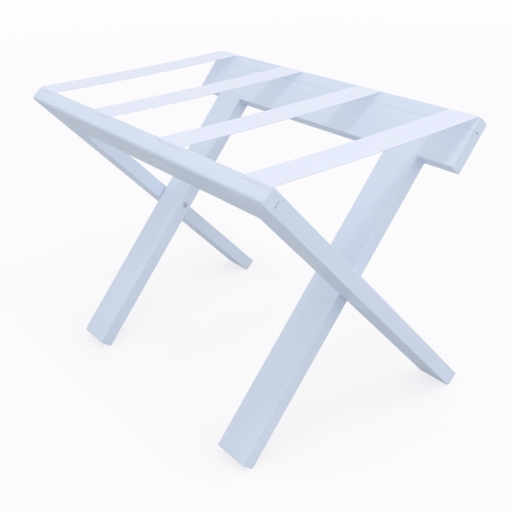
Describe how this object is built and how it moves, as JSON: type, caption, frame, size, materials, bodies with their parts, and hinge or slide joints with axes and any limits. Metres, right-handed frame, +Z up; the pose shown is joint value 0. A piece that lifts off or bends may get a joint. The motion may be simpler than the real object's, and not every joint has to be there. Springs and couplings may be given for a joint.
{
  "type": "luggage rack",
  "caption": "Folding X-frame luggage rack: painted flat boards crossed on pivot bolts, with webbing straps stretched level between the top rails.",
  "frame": {"origin": "on the floor, at the centre of the open rack's plan", "axes": "+X along the rails, towards the near end; +Y from the outer frame's rail to the inner frame's rail; +Z up"},
  "size_m": [0.6, 0.4086, 0.4601],
  "materials": {
    "painted_wood": "cool white satin paint on smooth boards",
    "webbing": "flat woven white webbing",
    "dowel_birch": "bare birch",
    "staple_wire": "galvanised",
    "bolt_steel": "zinc plated",
    "insert_brass": "plain",
    "washer_nylon": "plain"
  },
  "bodies": {
    "outer_frame": {"outer_top_bar": "painted_wood", "outer_apron": "painted_wood", "outer_leg_near": "painted_wood", "outer_leg_far": "painted_wood", "strap_1": "webbing", "strap_2": "webbing", "strap_3": "webbing", "strap_4": "webbing", "outer_leg_dowels": "dowel_birch", "outer_bar_dowels": "dowel_birch", "outer_strap_staples": "staple_wire", "pivot_bolt_near": "bolt_steel", "pivot_bolt_far": "bolt_steel", "threaded_insert_near": "insert_brass", "threaded_insert_far": "insert_brass", "spacer_washer_near": "washer_nylon", "spacer_washer_far": "washer_nylon"},
    "inner_frame": {"inner_top_bar": "painted_wood", "inner_apron": "painted_wood", "inner_leg_near": "painted_wood", "inner_leg_far": "painted_wood", "inner_leg_dowels": "dowel_birch", "inner_bar_dowels": "dowel_birch", "inner_strap_staples": "staple_wire"}
  },
  "joints": [
    {"name": "fold", "type": "hinge", "parent": "outer_frame", "child": "inner_frame", "pos_m": [0, 0, 0.22763], "axis": [1, 0, 0], "range_deg": [0, 75], "deforming": ["strap_1", "strap_2", "strap_3", "strap_4"]}
  ]
}
